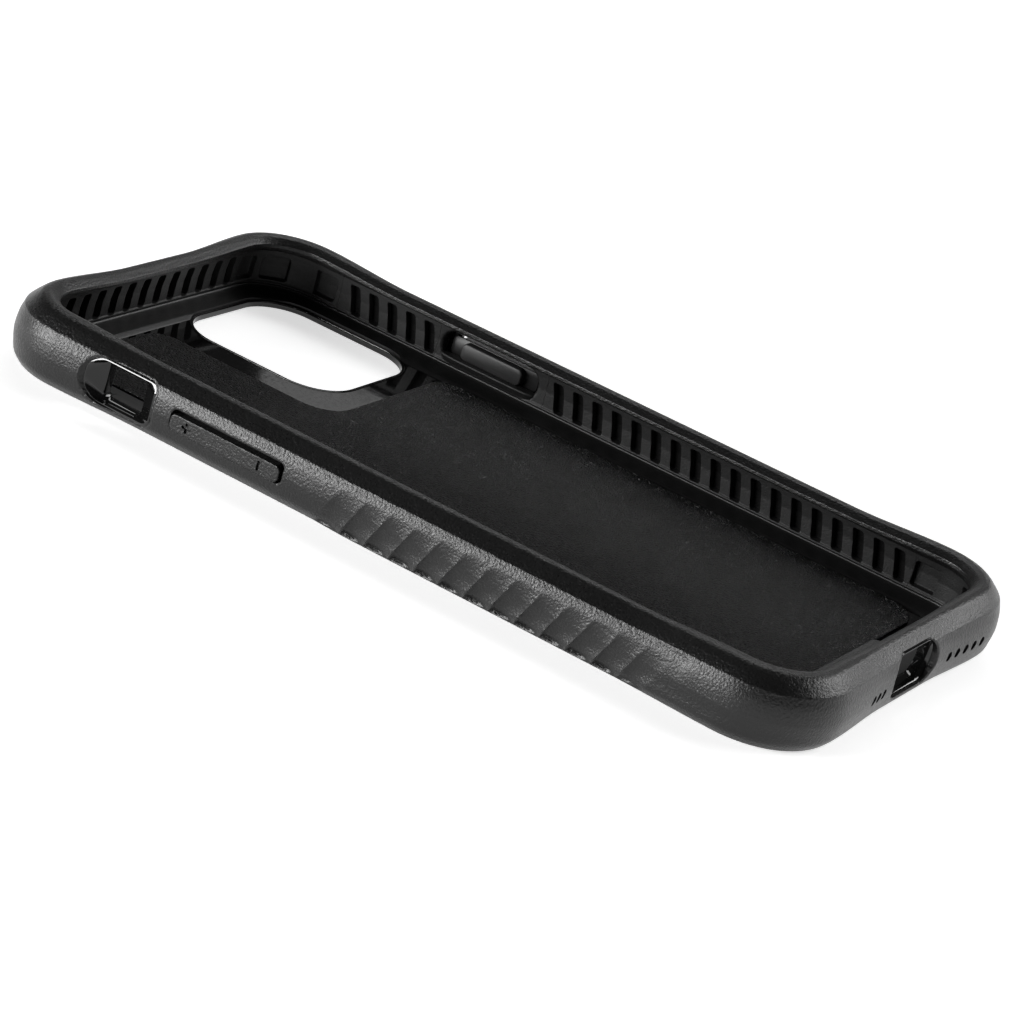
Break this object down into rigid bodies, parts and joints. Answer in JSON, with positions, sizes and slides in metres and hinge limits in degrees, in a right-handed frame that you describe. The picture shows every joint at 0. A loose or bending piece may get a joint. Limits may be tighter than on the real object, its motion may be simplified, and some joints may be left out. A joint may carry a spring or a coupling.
{
  "type": "phone case",
  "caption": "Protective phone case with a raised grip bumper, glossy inner tray, leather-grain lining, ribbed shock strips, a camera opening and sprung side buttons.",
  "frame": {"origin": "centre of the lowest face, under the middle of the case", "axes": "+Z out of the open face, +Y towards the phone's top end, +X towards the power key's side"},
  "size_m": [0.0818, 0.153, 0.0118],
  "materials": {
    "bumper": "matte moulded rubber with a fine pebble grain",
    "shell": "glossy black plastic",
    "skin": "fine matte texture",
    "adhesive": "hidden film",
    "lining": "leather-grain soft lining",
    "strip": "satin moulded rubber",
    "button": "matte moulded rubber",
    "presser": "satin plastic"
  },
  "bodies": {
    "case": {"bumper": "bumper", "hard_shell": "shell", "back_skin": "skin", "lining_adhesive": "adhesive", "lining": "lining", "camera_bezel": "shell", "mute_frame": "shell", "port_frame": "shell", "shock_strip_top": "strip", "shock_strip_bottom_left": "strip", "shock_strip_bottom_right": "strip", "shock_strip_left": "strip", "shock_strip_right_upper": "strip", "shock_strip_right_lower": "strip", "corner_pad_top_left": "strip", "corner_pad_top_right": "strip", "corner_pad_bottom_left": "strip", "corner_pad_bottom_right": "strip", "volume_collar": "strip", "power_collar": "strip"},
    "volume_rocker": {"volume_bar": "button", "volume_presser": "presser"},
    "power_button": {"power_key": "button", "power_presser": "presser"}
  },
  "joints": [
    {"name": "volume_rock", "type": "hinge", "parent": "case", "child": "volume_rocker", "pos_m": [-0.039, 0.0279, 0.00485], "axis": [0, 0, 1], "range_deg": [-1, 1], "stiffness_Nm_per_rad": 0.5},
    {"name": "power_press", "type": "slide", "parent": "case", "child": "power_button", "axis": [-1, 0, 0], "range_m": [0, 0.0003], "stiffness_N_per_m": 5000, "springref_m": -0.00005}
  ]
}
